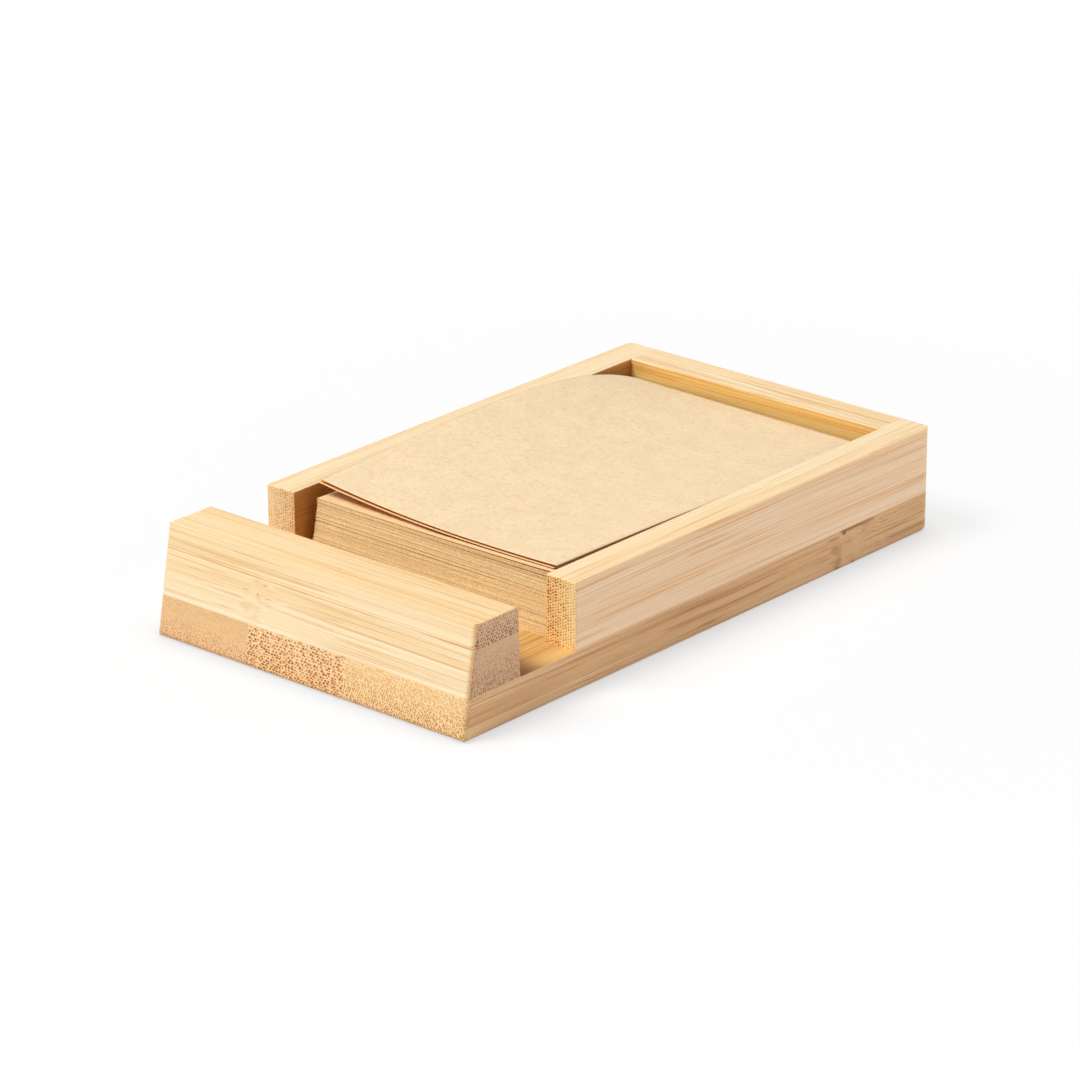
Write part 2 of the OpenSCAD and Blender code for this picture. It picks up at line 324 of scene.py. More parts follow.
class BambooGraph(Graph):
    """Long fibres on the faces along the grain, and fibre bundles as dots where the grain ends."""

    def __init__(self, look):
        super().__init__(bpy.data.materials.new(look.name))
        self.look = look
        self.place = dict(zip("xyz", self.position()))
        self.along = self.place[look.grain]
        self.across = self.place["y" if look.grain == "x" else "x"]
        self.up = self.place["z"]
        self.side = self.plus(self.across, self.drift(0))
        self.rise = self.plus(self.up, self.drift(31))
        self.calm = None
        self.stain = None
        for culm in look.culms:
            self.culm_node(culm)

    def drift(self, offset):
        """Slow wander of the fibres off the straight line."""
        where = self.join(self.times(self.along, 0.010), self.times(self.across, 0.05),
                          self.plus(self.times(self.up, 0.05), self.look.seed + offset))
        return self.swing(self.noise(where), 1.2)

    def most(self, a, b):
        """The larger of two amounts, where the first may be missing."""
        return b if a is None else self.maths("MAXIMUM", a, b)

    def culm_node(self, culm):
        """The fibres swirl beside a culm node, and it has a blotchy band of its own."""
        swirl = self.noise(self.join(self.times(self.along, 0.16), self.times(self.side, 0.22),
                                     self.times(self.rise, 0.22)))
        near = self.line(self.along, culm.at + culm.half_width * 0.8, culm.half_width * 2.8)
        shift = self.times(self.times(self.minus(swirl, 0.5), near), 2.6)
        self.rise = self.plus(self.rise, shift)
        self.side = self.minus(self.side, shift)
        ragged = self.minus(self.plus(self.along, self.swing(swirl, 9.0)), culm.at)
        band = self.fade(self.maths("ABSOLUTE", ragged), culm.half_width * 0.6, culm.half_width * 1.3,
                         1.0, 0.0)
        self.calm = self.most(self.calm, band)
        blotch = self.noise(self.join(self.times(self.along, 0.22), self.times(self.across, 0.45),
                                      self.times(self.up, 0.45)), 2.0)
        stain = self.times(self.times(band, self.fade(blotch, 0.38, 0.68)), culm.strength)
        self.stain = self.most(self.stain, stain)

    def fibre(self, per_mm, stretch, offset, detail=1.0):
        """Noise with per_mm waves across the grain, drawn out along it."""
        where = self.join(self.plus(self.times(self.along, per_mm * stretch), self.look.seed + offset),
                          self.times(self.side, per_mm), self.times(self.rise, per_mm))
        return self.noise(where, detail, 0.6)

    def quiet(self, amount):
        """The amount, less in a culm node's band."""
        if self.calm is None:
            return amount
        return self.times(amount, self.minus(1.0, self.times(self.calm, 0.92)))

    def ridges(self, per_mm, offset, half_width, broken):
        """Thin lines along the fibres, which meet and part, and taper off where broken falls to 0."""
        reach = self.times(broken, half_width * per_mm * 1.4)
        return self.line(self.fibre(per_mm, 0.005, offset), 0.5, reach)

    def dark_lines(self):
        """Strength of the dark lines along the grain: short fine ones, and bold and thin ridges."""
        fine = self.times(self.fade(self.fibre(3.4, 0.004, 19), 0.62, 0.72), 0.5)
        bold = self.ridges(0.50, 23, 0.055, self.fade(self.fibre(0.4, 0.03, 27), 0.42, 0.62))
        thin = self.ridges(1.20, 61, 0.040, self.fade(self.fibre(0.5, 0.05, 67), 0.40, 0.60))
        lines = self.maths("MAXIMUM", self.maths("MAXIMUM", fine, bold), self.times(thin, 0.85))
        return self.quiet(self.times(lines, self.look.lines))

    def long_grain(self):
        """Tone of the faces along the grain, their fine strands, and the height of their bump."""
        look = self.look
        tone = self.mix(self.fade(self.fibre(0.20, 0.02, 0, 2.0), 0.36, 0.64), look.pale, look.warm)
        strands = self.fibre(4.2, 0.003, 41, 2.0)
        swing = self.plus(self.swing(self.fibre(0.9, 0.006, 7, 2.0), 0.15), self.swing(strands, 0.40))
        tone = self.shade(tone, self.plus(self.quiet(self.times(swing, look.contrast)), 1.0))
        gleams = self.times(self.fade(self.fibre(3.0, 0.004, 13), 0.54, 0.66),
                            self.fade(self.fibre(0.35, 0.02, 51), 0.40, 0.60))
        tone = self.mix(self.quiet(self.times(gleams, 0.85 * look.contrast)), tone, look.gleam)
        lines = self.dark_lines()
        tone = self.mix(lines, tone, look.streak)
        pores = self.fade(self.fibre(3.6, 0.07, 37), 0.58, 0.72)
        tone = self.mix(self.quiet(self.times(pores, 0.18 * look.contrast)), tone, look.streak)
        height = self.plus(self.times(strands, 0.6), self.times(lines, -0.5))
        return self.marked(tone), strands, height

    def marked(self, tone):
        """The tone with the stain, flecks and bands of its own piece, the painted shade on its faces, and its
        painted shadows.
        """
        look = self.look
        if self.stain is not None:
            tone = self.mix(self.stain, tone, self.shade(look.streak, 0.95))
        for fleck in look.flecks:
            tone = self.flecked(tone, fleck)
        tone = self.banded(tone, look.bands, self.times(self.along, 0.05), 0.5)
        # Painted shade on the faces that look one way
        for flank in look.flanks:
            turned = self.times(self.normal()["xyz".index(flank.axis)], flank.way)
            tone = self.tint(self.fade(turned, 0.55, 0.85), tone, flank.tint)
        # Painted shadow on the upper side, where another piece stands on it
        for painted_shadow in look.painted_shadows:
            near = self.fade(self.place["y"], painted_shadow.start, painted_shadow.start + painted_shadow.reach, 1.0, 0.0)
            tone = self.tint(self.times(near, self.fade(self.normal()[2], 0.55, 0.85)), tone, painted_shadow.tint)
        return tone

    def banded(self, tone, bands, where, amount):
        """The tone with bands on it, which wander a little along their way."""
        for band in bands:
            wander = self.swing(self.noise(self.join(where, band.at, self.look.seed)), amount)
            share = self.line(self.plus(self.place[band.axis], wander), band.at, band.half_width)
            tone = self.mix(self.times(share, band.strength), tone, band.tint)
        return tone

    def flecked(self, tone, fleck):
        """The tone with one dark fleck on it, an oval with a ragged rim."""
        ragged = self.swing(self.noise(self.join(self.along, self.up, 0.0), 2.0, 0.7), 1.4)
        long_way = self.times(self.minus(self.along, fleck.at), 1 / fleck.half_length)
        high_way = self.times(self.minus(self.up, fleck.height), 1 / fleck.half_height)
        oval = self.plus(self.maths("POWER", long_way, 2.0), self.maths("POWER", high_way, 2.0))
        reach = self.plus(oval, ragged)
        return self.mix(self.fade(reach, 0.2, 1.2, fleck.strength, 0.0), tone, FLECK)

    def end_grain(self):
        """Fibre bundles in staggered, slightly wavy rows, which crowd towards the dense side."""
        look = self.look
        axis, sparse_at, dense_at = look.depth
        width = self.up if axis != "z" else self.across
        span = abs(dense_at - sparse_at)
        deep = self.times(self.minus(self.place[axis], sparse_at), 1 if dense_at > sparse_at else -1)

        first, last = 1 / look.rows[0], 1 / look.rows[1]
        crowding = (last - first) / span
        row = self.plus(self.times(deep, first), self.times(self.times(deep, deep), crowding / 2))
        waver = self.split(self.noise_node(
            self.join(self.times(width, 0.45), self.times(deep, 0.45), look.seed)).outputs["Color"])
        row = self.plus(row, self.times(waver[0], look.wander))
        column = self.plus(self.plus(self.times(width, 1 / look.pitch), self.times(row, 0.5)),
                           self.times(waver[1], 0.8))

        column_step, row_step, chance = self.cells(self.join(column, row, 0.0), look.stray)
        sideways = self.times(self.minus(column_step, self.times(row_step, 0.5)), look.pitch)
        upward = self.maths("DIVIDE", row_step, self.plus(self.times(deep, crowding), first))
        size = self.plus(self.times(chance, 0.5), 0.75)
        long_way, high_way = (
            self.maths("DIVIDE", step, self.times(size, self.fade(deep, 0.0, span, near, far)))
            for step, near, far in zip((sideways, upward), *look.bundle))
        oval = self.plus(self.times(long_way, long_way), self.times(high_way, high_way))
        reach = self.maths("SQRT", oval)
        strength = self.fade(deep, 0.0, span, look.strength[0], look.strength[1])
        strength = self.times(strength, self.plus(self.times(chance, 0.4), 0.8))
        dot = self.times(self.fade(reach, 0.55, 1.1, 1.0, 0.0), strength)

        ground = self.mix(self.fade(deep, 0.0, span), look.ground[0], look.ground[1])
        cloud = self.noise(self.join(self.times(width, 0.25), self.times(deep, 0.45), look.seed + 3), 3.0)
        ground = self.shade(ground, self.fade(cloud, 0.3, 0.7, 0.94, 1.05))
        grit = self.noise(self.join(self.times(width, 2.4), self.times(deep, 2.4), look.seed + 5))
        ground = self.shade(ground, self.fade(grit, 0.3, 0.7, 0.97, 1.03))
        ground = self.mix(self.times(self.fade(reach, 1.1, 2.0), 0.6), ground, look.net)
        ends = self.mix(dot, ground, look.dot)
        return self.banded(ends, look.end_bands, self.times(width, 0.3), 0.35), dot

    def build(self):
        """The finished material: long grain, and end grain where a face looks along the fibres."""
        tone, strands, long_height = self.long_grain()
        ends, dot = self.end_grain()
        facing = self.maths("ABSOLUTE", self.normal()["xyz".index(self.look.grain)])
        is_end = self.fade(facing, 0.68, 0.80)
        tone = self.tint(self.fade(facing, 0.30, 0.62), tone, self.look.toast)
        rough = self.plus(self.fade(strands, 0.3, 0.7, 0.42, 0.54), self.times(is_end, 0.16))
        height = self.plus(self.times(long_height, self.minus(1.0, is_end)),
                           self.times(self.times(dot, is_end), -0.5))
        base = self.mix(is_end, tone, ends)
        return self.principled(base, rough, specular=0.3, height=height, relief=0.05 * MM)


def dress(node, **look):
    """Gives a CAD node of wood its own bamboo material."""
    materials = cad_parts[node].data.materials
    materials.clear()
    materials.append(BambooGraph(Bamboo(**look)).build())


def dress_lip():
    """Two pale plies along the front, with brownish end grain and toasted ends."""
    shared = dict(
        grain="x", pale=STRAW, warm=GOLD, gleam=CREAM, streak=AMBER, contrast=0.70,
        toast=colour(246, 222, 190),
        # Painted shade: the front faces a touch darker, the upper faces a little darker and warmer
        flanks=[ShadeFlank("y", -1, colour(246, 245, 243)), ShadeFlank("z", 1, colour(252, 247, 236))])
    dress("lip_lower_ply", name="bamboo_lip_lower", seed=3.0,
          ground=(colour(213, 171, 132), colour(202, 160, 122)), net=colour(222, 186, 150),
          dot=colour(140, 96, 62), depth=("z", LIP_SEAM, BOARD_TOP), pitch=0.60, rows=(0.98, 0.86),
          bundle=((0.12, 0.26), (0.20, 0.38)), strength=(0.14, 0.58), stray=0.75, wander=0.9,
          bands=[Band("z", LIP_SEAM, 0.14, 0.95, GLUE), Band("z", BOARD_TOP, 0.12, 0.5, GLUE),
                 Band("z", BOARD_TOP + 0.7, 0.45, 0.5, CREAM), Band("z", BOARD_TOP + 1.4, 0.09, 0.5, GLUE)],
          culms=[Culm(-20.0, 3.2, 0.30)],
          flecks=[Fleck(-18.3, 18.2, 0.25, 0.5, 0.55), Fleck(-16.2, 20.9, 0.7, 0.35, 0.25)], **shared)
    dress("lip_upper_ply", name="bamboo_lip_upper", seed=12.0,
          ground=(colour(216, 174, 136), colour(211, 167, 128)), net=colour(228, 188, 150),
          dot=colour(112, 68, 42), depth=("z", LIP_TOP, LIP_SEAM), pitch=0.86, rows=(0.82, 0.72),
          bundle=((0.20, 0.24), (0.25, 0.29)), strength=(0.66, 0.84), stray=0.4,
          bands=[Band("z", LIP_SEAM, 0.16, 0.95, GLUE), Band("z", LIP_SEAM + 0.7, 0.09, 0.7, GLUE),
                 Band("z", LIP_SEAM + 2.9, 0.10, 0.6, GLUE)], **shared)


def dress_side_wall(node, seed, way, ground, dot):
    """A pale side wall with painted shade, darker inside. The way is -1 for the left wall and 1 for the right
    one.
    """
    dress(node, name="bamboo_" + node, grain="y", seed=seed,
          pale=STRAW, warm=GOLD, gleam=colour(254, 238, 204), streak=AMBER,
          ground=ground, net=colour(254, 222, 160), dot=dot, depth=("x", way * WALL_OUT, way * WALL_IN),
          pitch=0.76, rows=(0.84, 0.74), bundle=((0.20, 0.24), (0.25, 0.31)), strength=(0.66, 0.97),
          stray=0.30, lines=0.62, contrast=0.62,
          bands=[Band("z", BOARD_TOP, 0.12, 0.5, GLUE),
                 Band("z", WALL_TOP - 2.0, 0.10, 0.7, colour(190, 140, 96))],
          # Painted shade: the inner face darker and warmer, the outer face a little darker and pinker
          flanks=[ShadeFlank("x", -way, colour(204, 163, 112)), ShadeFlank("x", way, OUTER_SHADE)])


def dress_rear_wall():
    """The wall that butts between the side walls, which hide its end grain."""
    dress("rear_wall", name="bamboo_rear_wall", grain="x", seed=47.0,
          pale=STRAW, warm=GOLD, gleam=CREAM, streak=AMBER,
          ground=(colour(245, 206, 146), colour(232, 178, 112)), net=colour(252, 220, 166),
          dot=colour(134, 78, 34), depth=("z", LIP_TOP, BOARD_TOP), pitch=0.95, rows=(0.85, 0.5),
          bundle=((0.28, 0.25), (0.28, 0.22)), strength=(0.2, 0.8), lines=0.8,
          bands=[Band("z", BOARD_TOP, 0.12, 0.5, GLUE)],
          # Painted shade: the inner face a warmer gold, the outer face a little darker and pinker
          flanks=[ShadeFlank("y", -1, colour(250, 232, 180)), ShadeFlank("y", 1, OUTER_SHADE)])


def dress_board():
    """The base board's strips, browner than the rest and darkest at their foot, with painted shade on top."""
    shared = dict(
        grain="y", pale=TAN, warm=BROWN, gleam=PALE_TAN, streak=RUST, depth=("z", BOARD_TOP, 0.0),
        # Painted shade: the upper faces a warmer gold, and a painted shadow of the lip on the slot floor
        # behind it
        flanks=[ShadeFlank("z", 1, colour(250, 247, 208))], painted_shadows=[PaintedShadow(LIP_BACK, 10.0, colour(182, 142, 164))])
    dark_foot = Band("z", 0.0, 0.8, 0.35, FOOT)
    dress("base_left_strip", name="bamboo_base_left", seed=58.0,
          ground=(colour(222, 177, 124), colour(231, 188, 136)), net=colour(238, 198, 148),
          dot=colour(170, 100, 54), pitch=0.66, rows=(0.62, 0.52), bundle=((0.17, 0.17), (0.19, 0.20)),
          strength=(-0.35, 0.95), wander=0.5, contrast=0.75,
          bands=[Band("z", 0.0, 1.0, 0.6, FOOT)], end_bands=[dark_foot], **shared)
    dress("base_right_strip", name="bamboo_base_right", seed=71.0,
          ground=(colour(232, 190, 132), colour(232, 187, 130)), net=colour(255, 224, 174),
          dot=colour(170, 106, 54), pitch=0.68, rows=(0.82, 0.60), bundle=((0.17, 0.24), (0.20, 0.27)),
          strength=(0.16, 0.84), wander=0.8, contrast=0.75,
          bands=[Band("z", 0.0, 1.0, 0.7, FOOT)], end_bands=[dark_foot], culms=[Culm(54.0, 7.0, 0.50)],
          flecks=[Fleck(53.2, 9.9, 1.1, 0.8, 0.9), Fleck(56.0, 10.4, 5.0, 0.8, 0.8),
                  Fleck(62.0, 10.1, 4.5, 0.6, 0.55), Fleck(49.0, 9.2, 2.6, 0.5, 0.40),
                  Fleck(50.5, 0.6, 1.4, 0.8, 0.8), Fleck(57.0, 0.6, 0.9, 0.8, 0.7)], **shared)
    pale_seam = colour(253, 218, 160)
    for node in sorted(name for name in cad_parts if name.startswith("base_lamina_")):
        left, right = (corner.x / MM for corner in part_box(node))
        dress(node, name="bamboo_" + node, seed=83.0 + left,
              ground=(colour(240, 199, 144), colour(232, 184, 126)), net=colour(248, 215, 164),
              dot=colour(158, 84, 48), pitch=1.02, rows=(0.84, 0.56), bundle=((0.40, 0.27), (0.36, 0.23)),
              strength=(0.80, 0.97), wander=0.8, stray=0.5, bands=[Band("z", 0.0, 1.0, 0.5, FOOT)],
              end_bands=[Band("x", left, 0.26, 0.75, pale_seam), Band("x", right, 0.26, 0.75, pale_seam),
                         dark_foot], **shared)


def dress_wood():
    """Gives every bamboo node its own grain, tone and marks."""
    dress_lip()
    dress_side_wall("left_wall", seed=21.0, way=-1, dot=colour(202, 142, 90),
                    ground=(colour(252, 218, 170), colour(247, 208, 156)))
    dress_side_wall("right_wall", seed=34.0, way=1, dot=colour(162, 88, 26),
                    ground=(colour(255, 224, 160), colour(253, 208, 138)))
    dress_rear_wall()
    dress_board()


class SheetShadow(NamedTuple):
    """A painted shadow behind the front edge of a sheet, on the sheet that it lies on. Lengths are in mm."""
    # Middle of the front edge
    x: float
    y: float
    # How far behind that edge the painted shadow reaches, and the x from which it is there
    depth: float
    from_x: float
    tint: tuple


class KraftGraph(Graph):
    """Uncoated brown paper: cloudy pulp with short fibres, and finely streaked cut edges."""

    def __init__(self, name, seed):
        super().__init__(bpy.data.materials.new(name))
        self.seed = seed
        self.x, self.y, self.z = self.position()

    def pulp(self, per_mm, offset, detail=2.0):
        """Even noise with per_mm waves."""
        where = self.join(self.times(self.x, per_mm), self.times(self.y, per_mm),
                          self.plus(self.times(self.z, per_mm), self.seed + offset))
        return self.noise(where, detail, 0.6)

    def hairs(self, angle, offset):
        """Short fibres that lie at one angle."""
        cos, sin = math.cos(angle), math.sin(angle)
        long_way = self.plus(self.times(self.x, 0.55 * cos), self.times(self.y, 0.55 * sin))
        cross_way = self.plus(self.times(self.x, -4.0 * sin), self.times(self.y, 4.0 * cos))
        return self.fade(self.noise(self.join(long_way, cross_way, self.seed + offset)), 0.60, 0.74)

    def flat_side(self, face, grains):
        """Tone of the broad sides."""
        tone = self.shade(face, self.fade(self.pulp(0.16, 0, 3.0), 0.3, 0.7, 0.965, 1.03))
        tone = self.shade(tone, self.fade(grains, 0.3, 0.7, 0.975, 1.025))
        dark = self.mix(1.0, face, colour(244, 220, 178), "MULTIPLY")
        pale = colour(255, 240, 212)
        tone = self.mix(self.times(self.fade(self.pulp(0.7, 29, 3.0), 0.48, 0.70), 0.40), tone, dark)
        for number, angle in enumerate((0.3, 1.5, 2.4)):
            tone = self.mix(self.times(self.hairs(angle, 11 + number), 0.42), tone, dark)
            tone = self.mix(self.times(self.hairs(angle + 0.5, 17 + number), 0.40), tone, pale)
        return tone

    def with_sheet_shadow(self, tone, sheet_shadow):
        """The tone with a painted shadow along a band behind the front edge of the sheet that lies on it."""
        cos, sin = math.cos(LOOSE_TURN), math.sin(LOOSE_TURN)
        behind = self.minus(self.times(self.minus(self.y, sheet_shadow.y), cos),
                            self.times(self.minus(self.x, sheet_shadow.x), sin))
        band = self.times(self.fade(behind, -0.05, 0.10),
                          self.fade(behind, sheet_shadow.depth, sheet_shadow.depth + 0.8, 1.0, 0.0))
        band = self.times(band, self.fade(self.x, sheet_shadow.from_x - 12, sheet_shadow.from_x))
        return self.mix(self.times(band, 0.97), tone, sheet_shadow.tint)

    def stretched(self, flat_per_mm, upright_per_mm, detail=1.0, rough=0.5):
        """Noise with other waves per millimetre in the sheet's plane than upright."""
        where = self.join(self.times(self.x, flat_per_mm), self.times(self.y, flat_per_mm),
                          self.times(self.z, upright_per_mm))
        return self.noise(where, detail, rough)

    def cut_edge(self, edge):
        """Tone of the cut edges: layered, and fuzzy with browner fibres."""
        cut = self.shade(edge, self.fade(self.stretched(0.02, 5.5, 2.0, 0.7), 0.30, 0.60, 0.86, 1.10))
        cut = self.shade(cut, self.fade(self.stretched(0.015, 0.9), 0.3, 0.7, 0.97, 1.02))
        brownish = self.mix(1.0, edge, colour(234, 198, 144), "MULTIPLY")
        cut = self.mix(self.fade(self.stretched(2.6, 5.0, 2.0), 0.34, 0.52, 0.48, 0.0), cut, brownish)
        return self.mix(self.fade(self.stretched(3.4, 0.7), 0.36, 0.52, 0.34, 0.0), cut, brownish)

    def build(self, face, edge, sheet_shadow=None):
        """The finished material: one colour for the broad sides, one for the cut edges, and any painted
        shadow.
        """
        grains = self.pulp(1.1, 5, 3.0)
        tone = self.flat_side(face, grains)
        if sheet_shadow is not None:
            tone = self.with_sheet_shadow(tone, sheet_shadow)
        upright = self.fade(self.maths("ABSOLUTE", self.normal()[2]), 0.3, 0.6, 1.0, 0.0)
        height = self.plus(self.times(grains, 0.6), self.times(self.pulp(4.0, 23), 0.4))
        base = self.mix(upright, tone, self.cut_edge(edge))
        rough = self.fade(grains, 0.3, 0.7, 0.82, 0.95)
        return self.principled(base, rough, specular=0.2, height=height, relief=0.025 * MM)


def sheet_mesh(name, sheets, cells):
    """One mesh of thin sheets. Each sheet is a function from shares (s, t) of its size to its lower point.

    The cells are counted across and along a sheet. The faces between the sheets, and the underside of the
    lowest, take the second material, which is painted shade.
    """
    across, back = cells
    mesh = bmesh.new()
    for number, lower in enumerate(sheets):
        under, over = (
            [[mesh.verts.new(lower(i / across, j / back) + Vector((0, 0, lift))) for i in range(across + 1)]
             for j in range(back + 1)]
            for lift in (0.0, SHEET_T))
        for j in range(back):
            for i in range(across):
                quad = ((j, i), (j, i + 1), (j + 1, i + 1), (j + 1, i))
                upper_face = mesh.faces.new([over[a][b] for a, b in quad])
                upper_face.material_index = 0 if number == len(sheets) - 1 else 1
                mesh.faces.new([under[a][b] for a, b in reversed(quad)]).material_index = 1
        rim = [(0, i) for i in range(across)] + [(j, across) for j in range(back)]
        rim += [(back, i) for i in range(across, 0, -1)] + [(j, 0) for j in range(back, 0, -1)]
        for (a, b), (c, d) in zip(rim, rim[1:] + rim[:1]):
            mesh.faces.new((under[a][b], under[c][d], over[c][d], over[a][b]))
    data = bpy.data.meshes.new(name)
    mesh.to_mesh(data)
    mesh.free()
    piece = bpy.data.objects.new(name, data)
    bpy.context.scene.collection.objects.link(piece)
    return piece


def on_sheet(s, t, z):
    """Point at shares (s, t) of a sheet's width and length, from the middle of its front edge."""
    return Vector(((s - 0.5) * SHEET_W, t * SHEET_L, z))


def placed(x, y, turn):
    """Moves a point of a sheet, counted from its front edge's middle, to its place in the tray."""
    return Matrix.Translation((x, y, 0)) @ Matrix.Rotation(turn, 4, "Z")


def lay(piece, node, *materials):
    """The piece takes the place of a paper node and moves with it."""
    for material in materials:
        piece.data.materials.append(material)
    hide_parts(node)
    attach(piece, node)


def pressed_sheet(index, z, draw):
    """A sheet of the stack, whose rear edge lies at the height z."""
    level = index / (STACK_SHEETS - 1)
    x = STACK_X - STACK_LEAN_X * (1 - level) + draw.gauss(0, STACK_STRAY_X)
    y = STACK_Y - STACK_LEAN_Y * (1 - level) + draw.gauss(0, STACK_STRAY_Y)
    wave = draw.uniform(0, 6.3)
    to_tray = placed(x, y, STACK_TURN)
    # The sheets on both sides of the gape share its height, the nearer ones more
    if index <= GAPE_AFTER:
        bend = -0.5 * index / GAPE_AFTER
    else:
        bend = 0.5 * (STACK_SHEETS - index) / (STACK_SHEETS - GAPE_AFTER)

    def lower(s, t):
        across = max(0.0, math.sin(math.pi * min(1, 1.1 * s)))
        gape = GAPE_HEIGHT * math.exp(-((t / GAPE_REACH) ** 2)) * across
        ripple = STACK_RIPPLE * math.sin(9 * s + wave) * (1 - t)
        point = on_sheet(s, t, z + STACK_RISE * level * (1 - t) + gape * bend)
        return to_tray @ (point + Vector((0, ripple, 0)))

    return lower


def build_stack():
    """The pressed sheets, with slightly uneven edges and a few gaps near the front."""
    low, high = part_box("note_stack")
    spare = high.z - low.z - STACK_RISE - STACK_SHEETS * SHEET_T
    draw = random.Random(5)
    weights = [draw.uniform(0.2, 1.0) for _ in range(STACK_SHEETS)]
    spread = spare / sum(weights)
    sheets = []
    z = low.z
    for index, weight in enumerate(weights):
        sheets.append(pressed_sheet(index, z, draw))
        z += SHEET_T + weight * spread
    return sheet_mesh("pressed_sheets", sheets, cells=(16, 12))


class Gap(NamedTuple):
    """A gap in the fan: the sheets below it, its height at the front's left and right, and how it grows."""
    below: int
    left: float
    right: float
    power: int


def fanned_sheet(number, gaps):
    """A sheet of the fan, counted from 1 at the bottom."""
    to_tray = placed(STACK_X + FAN_STRAY * math.sin(math.radians(150 * number)), STACK_Y, STACK_TURN)
    rear_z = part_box("fanned_sheets")[0].z + (number - 1) * FAN_PITCH

    def lower(s, t):
        opening = sum(gap.left + (gap.right - gap.left) * s ** gap.power
                      for gap in gaps if number > gap.below)
        return to_tray @ on_sheet(s, t, rear_z + (STACK_RISE + opening) * (1 - t))

    return lower


def build_fan():
    """Loose sheets in bundles, which open towards the front right."""
    gaps = [Gap(0, 0.0, 0.12 * MM, 3), Gap(2, 0.0, 0.16 * MM, 3), Gap(5, 0.12 * MM, 0.3 * MM, 2)]
    gaps += [Gap(below, 0.0, 0.03 * MM, 2) for below in range(6, 12)]
    gaps.append(Gap(12, 0.12 * MM, 0.35 * MM, 2))
    sheets = [fanned_sheet(number, gaps) for number in range(1, FAN_SHEETS + 1)]
    return sheet_mesh("fanned_note_sheets", sheets, cells=(24, 12))


class Curl(NamedTuple):
    """How a sheet curls, in millimetres: low along a valley and lifted along its left and right edges."""
    # How much higher the valley lies at the front than at the rear
    rise: float
    # Lift of an edge at the front, and its growth towards the rear, where it comes down again
    left: tuple
    right: tuple

    def height(self, s, t):
        """Height over the rear edge at shares (s, t) of the sheet's width and length."""
        leftward = max(0.0, 1 - s / CURL_VALLEY)
        rightward = max(0.0, (s - CURL_VALLEY) / (1 - CURL_VALLEY))
        return (self.rise * (1 - t)
                + (self.left[0] + self.left[1] * t) * (1 - t ** 4) * leftward ** 2
                + (self.right[0] + self.right[1] * t) * (1 - t ** 2) * rightward ** 2)


def build_curled(name, node, x, set_back, curl):
    """A loose curled sheet. Its broad sides are smooth, and its cut edges flat."""
    to_tray = placed(x, STACK_Y + set_back, LOOSE_TURN)
    rear_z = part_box(node)[0].z

    def lower(s, t):
        return to_tray @ on_sheet(s, t, rear_z + curl.height(s, t) * MM)

    piece = sheet_mesh(name, [lower], cells=(64, 96))
    for face in piece.data.polygons:
        face.use_smooth = abs(face.normal.z) > 0.5
    return piece


def build_paper():
    """The stack, the fan and the two curled sheets, each in the place of its CAD node."""
    face, edge = colour(246, 222, 184), colour(255, 236, 188)
    paper = KraftGraph("kraft_note_paper", seed=2.0).build(face, edge)
    # The faces between the pressed sheets are a warmer kraft: painted shade in the gaps
    between = KraftGraph("kraft_stack_gap_shade", seed=5.0).build(colour(244, 212, 164), edge)
    lay(build_stack(), "note_stack", paper, between)

    # Painted shade: loose sheets are a warmer brown on their undersides and between each other
    shade_paper = KraftGraph("kraft_shade_paper", seed=15.0).build(colour(228, 166, 98), edge)
    # Painted shadow of the second sheet on the fan, behind the second sheet's front edge
    shadow_under_second = SheetShadow(SECOND_X / MM, (STACK_Y + SECOND_BACK) / MM, depth=1.0, from_x=2,
                         tint=colour(190, 118, 40))
    # The fan's upper face is a warmer kraft: painted warm shade under the curled sheets
    fanned = KraftGraph("kraft_fanned_warm_shade_paper", seed=12.0).build(
        colour(252, 220, 168), colour(255, 230, 180), shadow_under_second)
    lay(build_fan(), "fanned_sheets", fanned, shade_paper)

    # Painted shadow of the top sheet on the second sheet, behind the top sheet's front edge
    shadow_under_top = SheetShadow(TOP_X / MM, (STACK_Y + TOP_BACK) / MM, depth=1.5, from_x=-40, tint=colour(222, 146, 24))
    loose = KraftGraph("kraft_loose_paper", seed=9.0).build(face, colour(255, 238, 194), shadow_under_top)
    second = build_curled("second_note_sheet", "second_sheet", SECOND_X, SECOND_BACK,
                          Curl(rise=3.0, left=(2.65, 9.2), right=(0.35, 2.6)))
    lay(second, "second_sheet", loose, shade_paper)
    # The top sheet's cut edges are dark rust: painted shade of the gap under it
    uppermost = KraftGraph("kraft_top_paper_shaded_edges", seed=21.0).build(face, colour(184, 92, 20))
    top = build_curled("top_note_sheet", "top_sheet", TOP_X, TOP_BACK,
                       Curl(rise=3.3, left=(2.85, 10.0), right=(0.5, 3.0)))
    lay(top, "top_sheet", uppermost, shade_paper)


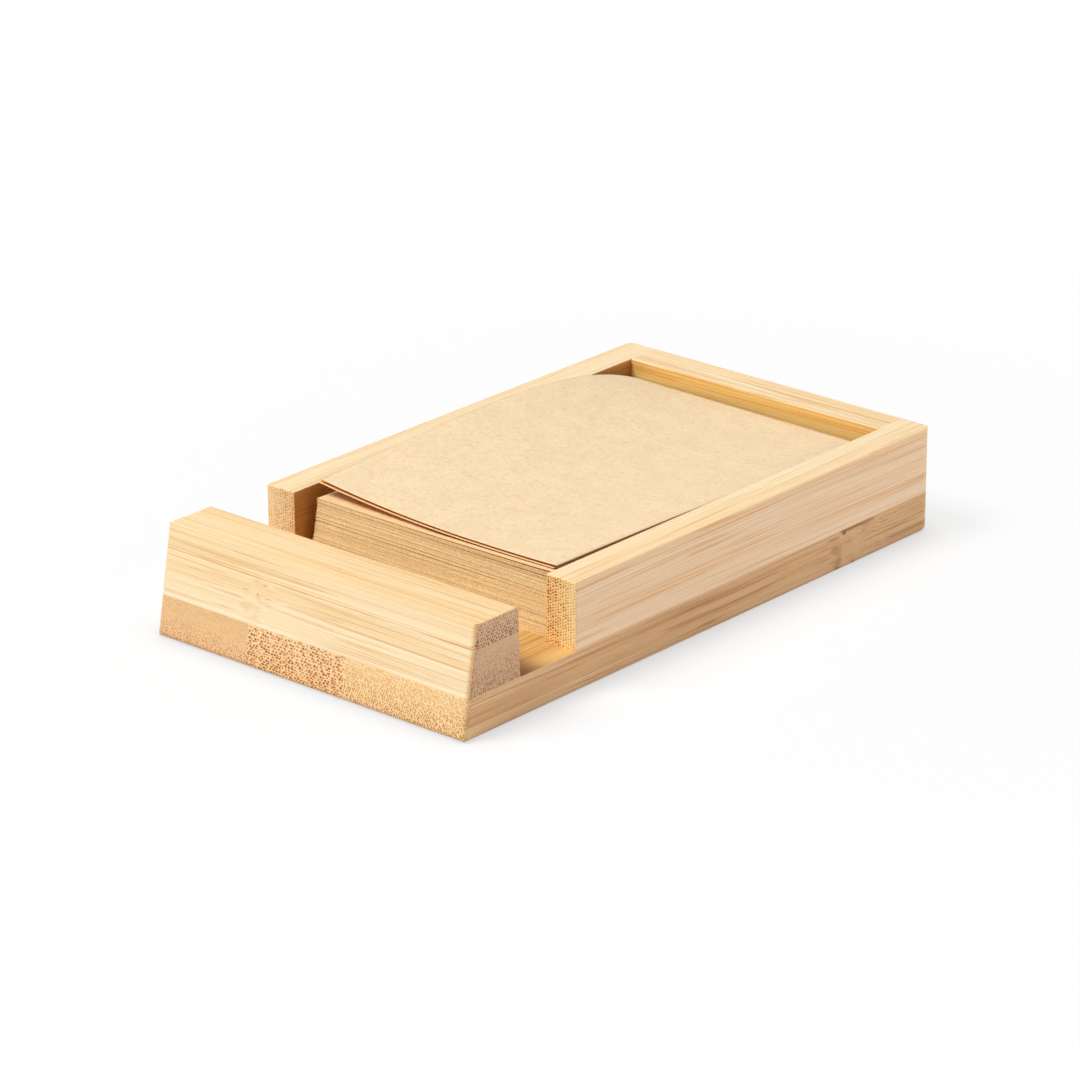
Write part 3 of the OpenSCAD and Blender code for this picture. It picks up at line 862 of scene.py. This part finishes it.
def build_floor(size, painted_shadow_reach):
    """A pale floor that keeps the shadow and shows white round the object. Both sizes are in metres."""
    bpy.ops.mesh.primitive_plane_add(size=size, location=(0, 0, 0))
    floor = bpy.context.object
    floor.name = "floor"
    g = Graph(bpy.data.materials.new("floor_white"))
    x, y, _ = g.position()
    away = g.maths("SQRT", g.plus(g.times(x, x), g.times(y, y)))
    # Painted contact shadow: the floor's colour and its white glow are darker close to the object
    near = g.add("ShaderNodeAmbientOcclusion", {"Distance": painted_shadow_reach}, samples=8).outputs["AO"]
    painted_contact_shadow = g.fade(near, 0.35, 0.95, 0.80, 1.0)
    diffuse = g.add("ShaderNodeBsdfDiffuse", {"Color": g.shade(colour(248, 248, 250), painted_contact_shadow)})
    white = g.add("ShaderNodeEmission", {"Color": g.shade(colour(255, 255, 255), painted_contact_shadow), "Strength": 1.0})
    path = g.add("ShaderNodeLightPath").outputs
    seen = g.maths("MAXIMUM", path["Is Camera Ray"], path["Is Glossy Ray"])
    # Seen straight, the floor turns from mostly white to all white between 90 and 300 mm from the origin
    share = g.times(seen, g.fade(away, 90, 300, 0.80, 1.0))
    both = g.add("ShaderNodeMixShader", {0: share, 1: diffuse.outputs[0], 2: white.outputs[0]})
    floor.data.materials.append(g.end(both))


def build_lamp(name, direction, distance, size, level, tint):
    """A square softbox towards which a facing white surface would render at the level."""
    lamp = bpy.data.lights.new(name, "AREA")
    lamp.shape = "SQUARE"
    lamp.size = size
    lamp.energy = level * math.pi ** 2 * distance ** 2
    lamp.color = tint
    thing = bpy.data.objects.new(name, lamp)
    away = Vector(direction).normalized()
    thing.location = away * distance
    thing.rotation_mode = "QUATERNION"
    thing.rotation_quaternion = away.to_track_quat("Z", "Y")
    bpy.context.scene.collection.objects.link(thing)


def build_world(level):
    """Even studio light from all sides, with a white background."""
    world = bpy.data.worlds.new("studio")
    bpy.context.scene.world = world
    g = Graph(world)
    path = g.add("ShaderNodeLightPath").outputs
    glassy = g.maths("MAXIMUM", path["Is Glossy Ray"], path["Is Transmission Ray"])
    seen = g.maths("MAXIMUM", path["Is Camera Ray"], glassy)
    strength = g.fade(seen, 0.0, 1.0, level, 1.0)
    background = g.add("ShaderNodeBackground", {"Color": (1, 1, 1, 1), "Strength": strength})
    g.end(background, "ShaderNodeOutputWorld")


def build_camera():
    """The photograph's view, with no shift and no depth of field."""
    lens = bpy.data.cameras.new("camera")
    lens.sensor_width = SENSOR_W
    lens.lens = FOCAL_LENGTH
    lens.clip_start, lens.clip_end = CLIP
    camera = bpy.data.objects.new("camera", lens)
    bpy.context.scene.collection.objects.link(camera)
    bpy.context.scene.camera = camera
    flat = math.cos(CAMERA_ELEVATION)
    back = Vector((math.sin(CAMERA_AZIMUTH) * flat, -math.cos(CAMERA_AZIMUTH) * flat,
                   math.sin(CAMERA_ELEVATION)))
    level_right = Vector((math.cos(CAMERA_AZIMUTH), math.sin(CAMERA_AZIMUTH), 0))
    level_up = back.cross(level_right)
    right = math.cos(CAMERA_ROLL) * level_right + math.sin(CAMERA_ROLL) * level_up
    up = math.cos(CAMERA_ROLL) * level_up - math.sin(CAMERA_ROLL) * level_right
    place = CAMERA_AIM + back * CAMERA_DISTANCE - right * CAMERA_RIGHTWARD - up * CAMERA_UPWARD
    turned = Matrix((right, up, back)).transposed().to_4x4()
    camera.matrix_world = Matrix.Translation(place) @ turned


bpy.context.scene.view_settings.view_transform = "Standard"
build_camera()
build_world(level=0.30)
build_lamp("key", direction=(-0.29, -0.53, 0.90), distance=2.0, size=0.8, level=0.84, tint=(1.0, 0.99, 0.97))
build_lamp("fill", direction=(0.9, 0.62, 0.24), distance=1.0, size=0.6, level=0.30, tint=(1.0, 0.96, 0.95))
build_floor(size=8, painted_shadow_reach=12 * MM)
dress_wood()
build_paper()
